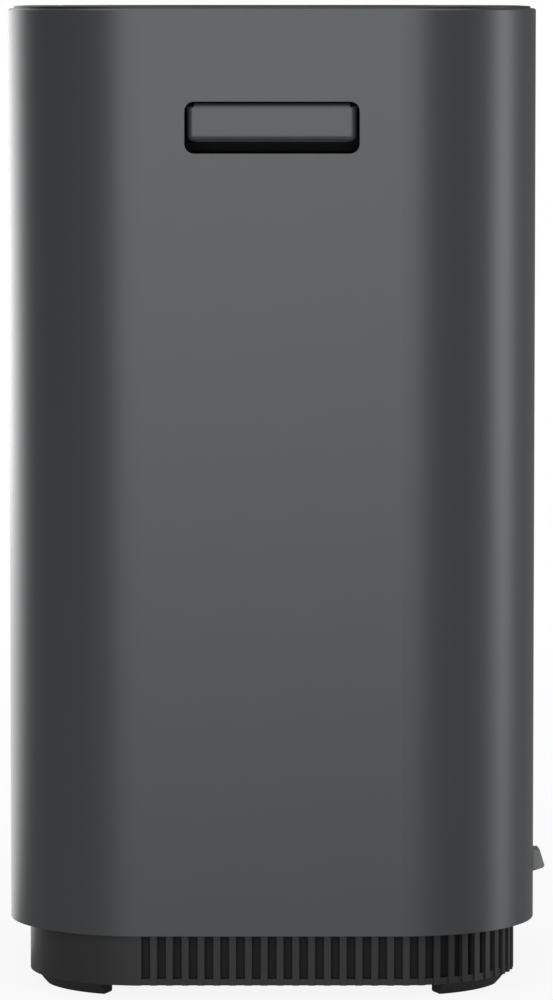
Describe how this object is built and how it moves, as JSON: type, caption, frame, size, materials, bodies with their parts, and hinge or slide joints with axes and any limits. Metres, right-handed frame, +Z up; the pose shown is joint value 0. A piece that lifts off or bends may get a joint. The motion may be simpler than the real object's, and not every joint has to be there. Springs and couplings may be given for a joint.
{
  "type": "air purifier",
  "caption": "Free-standing square tower air purifier with rounded corners, slotted base, hinged side grips, slide-out rear filter cartridge, fan and top outlet grille.",
  "frame": {"origin": "on the floor under the middle of the square casing", "axes": "+Z up, -Y towards the front, +Y towards the back with the filter cover and cord gland, +X towards the pictured side"},
  "size_m": [0.28, 0.2864, 0.5207],
  "materials": {
    "casing_grey": "satin, fine moulded grain",
    "base_grey": "satin",
    "panel_black": "matt",
    "lens_black": "gloss",
    "foot_rubber": "matt",
    "seal_foam": "matt open foam",
    "screen_mesh": "fine moulded net",
    "chassis_white": "satin",
    "impeller_grey": "satin",
    "filter_paper": "matt",
    "carbon_black": "granular",
    "steel": "zinc plated",
    "motor_metal": "satin",
    "iron": "matt",
    "copper": "enamelled wire",
    "board_green": "satin",
    "component_black": "satin"
  },
  "bodies": {
    "housing": {"outer_casing": "casing_grey", "top_panel": "panel_black", "outlet_grille": "panel_black", "display_lens": "lens_black", "control_board": "board_green", "key_switches": "component_black", "panel_screws": "steel", "base_ring": "base_grey", "bottom_plate": "base_grey", "dust_screen": "screen_mesh", "base_screws": "steel", "foot_front_left": "foot_rubber", "foot_front_right": "foot_rubber", "foot_back_left": "foot_rubber", "foot_back_right": "foot_rubber", "bay_floor": "chassis_white", "filter_rails": "chassis_white", "catch_magnets": "iron", "chassis_posts": "chassis_white", "fan_deck": "chassis_white", "inlet_ring": "chassis_white", "bridge_posts": "chassis_white", "motor_bridge": "steel", "motor_dampers": "foot_rubber", "motor_screws": "steel", "motor_case": "motor_metal", "motor_end_cap": "motor_metal", "motor_bearings": "steel", "stator_core": "iron", "stator_coils": "copper", "grip_cup_right": "panel_black", "grip_cup_left": "panel_black", "grip_pins": "steel", "power_board": "board_green", "power_components": "component_black", "power_screws": "steel", "air_sensor": "chassis_white", "cord_gland": "casing_grey", "gland_nut": "panel_black"},
    "fan_rotor": {"impeller": "impeller_grey", "impeller_nut": "steel", "motor_shaft": "steel", "rotor_magnet": "iron"},
    "filter_cartridge": {"cartridge_frame": "chassis_white", "catch_strikers": "steel", "hepa_pleat_right": "filter_paper", "hepa_pleat_left": "filter_paper", "carbon_pad_right": "carbon_black", "carbon_pad_left": "carbon_black", "prefilter_net_right": "screen_mesh", "prefilter_net_left": "screen_mesh", "cartridge_seal": "seal_foam", "filter_cover": "casing_grey"},
    "right_flap": {"grip_flap_right": "casing_grey"},
    "left_flap": {"grip_flap_left": "casing_grey"},
    "power_button": {"button_power": "panel_black"},
    "speed_button": {"button_speed": "panel_black"},
    "mode_button": {"button_mode": "panel_black"},
    "timer_button": {"button_timer": "panel_black"}
  },
  "joints": [
    {"name": "fan_spin", "type": "hinge", "parent": "housing", "child": "fan_rotor", "pos_m": [0, 0, 0.43], "axis": [0, 0, 1], "continuous": true},
    {"name": "filter_slide", "type": "slide", "parent": "housing", "child": "filter_cartridge", "axis": [0, 1, 0], "range_m": [0, 0.24]},
    {"name": "right_flap_swing", "type": "hinge", "parent": "housing", "child": "right_flap", "pos_m": [0.1361, 0, 0.4685], "axis": [0, 1, 0], "range_deg": [0, 65]},
    {"name": "left_flap_swing", "type": "hinge", "parent": "housing", "child": "left_flap", "pos_m": [-0.1361, 0, 0.4685], "axis": [0, -1, 0], "range_deg": [0, 65]},
    {"name": "power_press", "type": "slide", "parent": "housing", "child": "power_button", "axis": [0, 0, -1], "range_m": [0, 0.0008], "stiffness_N_per_m": 400, "springref_m": -0.001},
    {"name": "speed_press", "type": "slide", "parent": "housing", "child": "speed_button", "axis": [0, 0, -1], "range_m": [0, 0.0008], "stiffness_N_per_m": 400, "springref_m": -0.001},
    {"name": "mode_press", "type": "slide", "parent": "housing", "child": "mode_button", "axis": [0, 0, -1], "range_m": [0, 0.0008], "stiffness_N_per_m": 400, "springref_m": -0.001},
    {"name": "timer_press", "type": "slide", "parent": "housing", "child": "timer_button", "axis": [0, 0, -1], "range_m": [0, 0.0008], "stiffness_N_per_m": 400, "springref_m": -0.001}
  ]
}
